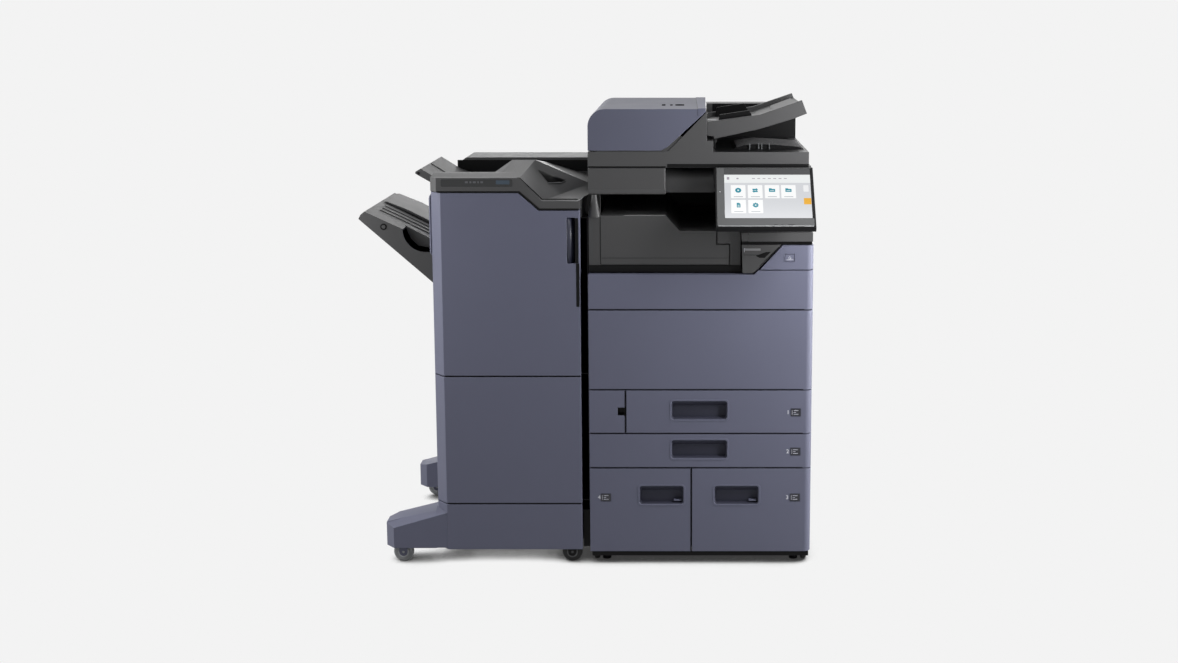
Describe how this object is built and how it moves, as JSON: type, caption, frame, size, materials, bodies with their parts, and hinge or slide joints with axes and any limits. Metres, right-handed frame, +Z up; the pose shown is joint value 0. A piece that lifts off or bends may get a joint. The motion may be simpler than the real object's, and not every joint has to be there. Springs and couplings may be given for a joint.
{
  "type": "photocopier",
  "caption": "Floor-standing multifunction photocopier with document feeder, tilting touch panel, paper cassettes and a stapling finisher docked at its left.",
  "frame": {"origin": "middle of the footprint at floor level", "axes": "+Z up; the front with its cassettes faces -Y; the finisher is at -X"},
  "size_m": [1.2226, 0.7922, 1.265],
  "materials": {
    "violet_plastic": "fine texture",
    "charcoal_plastic": "fine texture",
    "black_plastic": "satin",
    "zinc_steel": "zinc plated",
    "glass": "polished",
    "rubber": "matt",
    "grey_wheel": "matt",
    "toner_black": "satin",
    "toner_cyan": "satin",
    "toner_magenta": "satin",
    "toner_yellow": "satin"
  },
  "bodies": {
    "machine": {"chassis": "zinc_steel", "left_cover": "violet_plastic", "right_cover": "violet_plastic", "rear_cover": "violet_plastic", "upper_front_panel": "violet_plastic", "switch_panel": "violet_plastic", "transfer_belt_unit": "charcoal_plastic", "toner_yellow": "toner_yellow", "toner_magenta": "toner_magenta", "toner_cyan": "toner_cyan", "toner_black": "toner_black", "fuser_unit": "zinc_steel", "output_bay": "charcoal_plastic", "bridge_unit": "charcoal_plastic", "right_tower": "charcoal_plastic", "scanner_housing": "charcoal_plastic", "platen_glass": "glass", "panel_arm": "charcoal_plastic", "finisher_frame": "black_plastic", "finisher_base_panel": "violet_plastic", "finisher_lower_panel": "violet_plastic", "finisher_side_cover": "violet_plastic", "finisher_rear_cover": "violet_plastic", "finisher_top_cover": "charcoal_plastic", "finisher_top_tray": "charcoal_plastic", "outrigger_front": "violet_plastic", "outrigger_rear": "violet_plastic", "stapler_unit": "zinc_steel"},
    "power_key": {"power_button": "charcoal_plastic"},
    "front_cover_body": {"front_cover": "violet_plastic"},
    "waste_door": {"waste_toner_door": "violet_plastic"},
    "cassette_1": {"cassette_1_front": "violet_plastic", "cassette_1_bin": "charcoal_plastic"},
    "cassette_2": {"cassette_2_front": "violet_plastic", "cassette_2_bin": "charcoal_plastic"},
    "cassette_3": {"cassette_3_front": "violet_plastic", "cassette_3_bin": "charcoal_plastic"},
    "cassette_4": {"cassette_4_front": "violet_plastic", "cassette_4_bin": "charcoal_plastic"},
    "conveyor_door": {"right_door": "violet_plastic"},
    "bypass": {"bypass_tray": "charcoal_plastic"},
    "lamp_carriage": {"scanner_carriage": "black_plastic"},
    "panel": {"operation_panel": "charcoal_plastic", "touch_screen": "glass"},
    "feeder": {"feeder_body": "charcoal_plastic"},
    "hood": {"feeder_hood": "violet_plastic"},
    "pickup": {"pickup_roller": "rubber"},
    "originals_tray": {"original_tray": "charcoal_plastic"},
    "front_guide": {"guide_front": "black_plastic"},
    "rear_guide": {"guide_rear": "black_plastic"},
    "stacker_door": {"finisher_door": "violet_plastic"},
    "stacker_tray": {"finisher_main_tray": "charcoal_plastic"},
    "caster_wheel_front_left_body": {"caster_wheel_front_left": "rubber"},
    "caster_wheel_front_right_body": {"caster_wheel_front_right": "rubber"},
    "caster_wheel_rear_left_body": {"caster_wheel_rear_left": "rubber"},
    "caster_wheel_rear_right_body": {"caster_wheel_rear_right": "rubber"},
    "finisher_wheel_front_right_body": {"finisher_wheel_front_right": "grey_wheel"},
    "finisher_wheel_front_left_body": {"finisher_wheel_front_left": "grey_wheel"},
    "finisher_wheel_rear_right_body": {"finisher_wheel_rear_right": "grey_wheel"},
    "finisher_wheel_rear_left_body": {"finisher_wheel_rear_left": "grey_wheel"}
  },
  "joints": [
    {"name": "power_button_press", "type": "slide", "parent": "machine", "child": "power_key", "axis": [0, 1, 0], "range_m": [0, 0.0018], "stiffness_N_per_m": 400},
    {"name": "front_cover_hinge", "type": "hinge", "parent": "machine", "child": "front_cover_body", "pos_m": [0.3103, -0.2689, 0.493], "axis": [1, 0, 0], "range_deg": [0, 85]},
    {"name": "waste_door_hinge", "type": "hinge", "parent": "machine", "child": "waste_door", "pos_m": [0.0093, -0.2689, 0.4285], "axis": [0, 0, -1], "range_deg": [0, 90]},
    {"name": "cassette_1_slide", "type": "slide", "parent": "machine", "child": "cassette_1", "axis": [0, -1, 0], "range_m": [0, 0.45]},
    {"name": "cassette_2_slide", "type": "slide", "parent": "machine", "child": "cassette_2", "axis": [0, -1, 0], "range_m": [0, 0.45]},
    {"name": "cassette_3_slide", "type": "slide", "parent": "machine", "child": "cassette_3", "axis": [0, -1, 0], "range_m": [0, 0.45]},
    {"name": "cassette_4_slide", "type": "slide", "parent": "machine", "child": "cassette_4", "axis": [0, -1, 0], "range_m": [0, 0.45]},
    {"name": "right_door_hinge", "type": "hinge", "parent": "machine", "child": "conveyor_door", "pos_m": [0.6073, 0.2271, 0.645], "axis": [0, 0, 1], "range_deg": [0, 90]},
    {"name": "bypass_tray_hinge", "type": "hinge", "parent": "conveyor_door", "child": "bypass", "pos_m": [0.6069, 0.0311, 0.519], "axis": [0, 1, 0], "range_deg": [0, 78]},
    {"name": "scanner_carriage_slide", "type": "slide", "parent": "machine", "child": "lamp_carriage", "axis": [1, 0, 0], "range_m": [0, 0.44]},
    {"name": "panel_tilt", "type": "hinge", "parent": "machine", "child": "panel", "pos_m": [0.4762, -0.32318, 0.97369], "axis": [1, 0, 0], "range_deg": [-20, 25]},
    {"name": "feeder_hinge", "type": "hinge", "parent": "machine", "child": "feeder", "pos_m": [0.3103, 0.3291, 1.0985], "axis": [-1, 0, 0], "range_deg": [0, 60]},
    {"name": "feeder_hood_hinge", "type": "hinge", "parent": "feeder", "child": "hood", "pos_m": [0.0153, -0.2389, 1.1423], "axis": [0, -1, 0], "range_deg": [0, 60]},
    {"name": "pickup_roller_spin", "type": "hinge", "parent": "hood", "child": "pickup", "pos_m": [0.2903, 0.0421, 1.218], "axis": [0, 1, 0], "continuous": true},
    {"name": "original_tray_hinge", "type": "hinge", "parent": "feeder", "child": "originals_tray", "pos_m": [0.3323, -0.1939, 1.203], "axis": [0, -1, 0], "range_deg": [0, 20]},
    {"name": "guide_front_slide", "type": "slide", "parent": "originals_tray", "child": "front_guide", "axis": [0, 1, 0], "range_m": [0, 0.12]},
    {"name": "guide_rear_slide", "type": "slide", "parent": "originals_tray", "child": "rear_guide", "axis": [0, -1, 0], "range_m": [0, 0.12]},
    {"name": "finisher_door_hinge", "type": "hinge", "parent": "machine", "child": "stacker_door", "pos_m": [-0.4097, -0.2349, 0.75], "axis": [0, 0, -1], "range_deg": [0, 100]},
    {"name": "main_tray_lift", "type": "slide", "parent": "machine", "child": "stacker_tray", "axis": [0, 0, 1], "range_m": [-0.5, 0]},
    {"name": "caster_wheel_front_left_spin", "type": "hinge", "parent": "machine", "child": "caster_wheel_front_left_body", "pos_m": [0.0258, -0.2209, 0.0185], "axis": [1, 0, 0], "continuous": true},
    {"name": "caster_wheel_front_right_spin", "type": "hinge", "parent": "machine", "child": "caster_wheel_front_right_body", "pos_m": [0.5948, -0.2209, 0.0185], "axis": [1, 0, 0], "continuous": true},
    {"name": "caster_wheel_rear_left_spin", "type": "hinge", "parent": "machine", "child": "caster_wheel_rear_left_body", "pos_m": [0.0258, 0.3361, 0.0185], "axis": [1, 0, 0], "continuous": true},
    {"name": "caster_wheel_rear_right_spin", "type": "hinge", "parent": "machine", "child": "caster_wheel_rear_right_body", "pos_m": [0.5948, 0.3361, 0.0185], "axis": [1, 0, 0], "continuous": true},
    {"name": "finisher_wheel_front_right_spin", "type": "hinge", "parent": "machine", "child": "finisher_wheel_front_right_body", "pos_m": [-0.0417, -0.2389, 0.0275], "axis": [0, 1, 0], "continuous": true},
    {"name": "finisher_wheel_front_left_spin", "type": "hinge", "parent": "machine", "child": "finisher_wheel_front_left_body", "pos_m": [-0.5067, -0.2389, 0.0275], "axis": [0, 1, 0], "continuous": true},
    {"name": "finisher_wheel_rear_right_spin", "type": "hinge", "parent": "machine", "child": "finisher_wheel_rear_right_body", "pos_m": [-0.0417, 0.3311, 0.0275], "axis": [0, 1, 0], "continuous": true},
    {"name": "finisher_wheel_rear_left_spin", "type": "hinge", "parent": "machine", "child": "finisher_wheel_rear_left_body", "pos_m": [-0.5067, 0.3311, 0.0275], "axis": [0, 1, 0], "continuous": true}
  ],
  "couplings": [
    {"joint": "guide_rear_slide", "follows": "guide_front_slide", "ratio": 1}
  ]
}
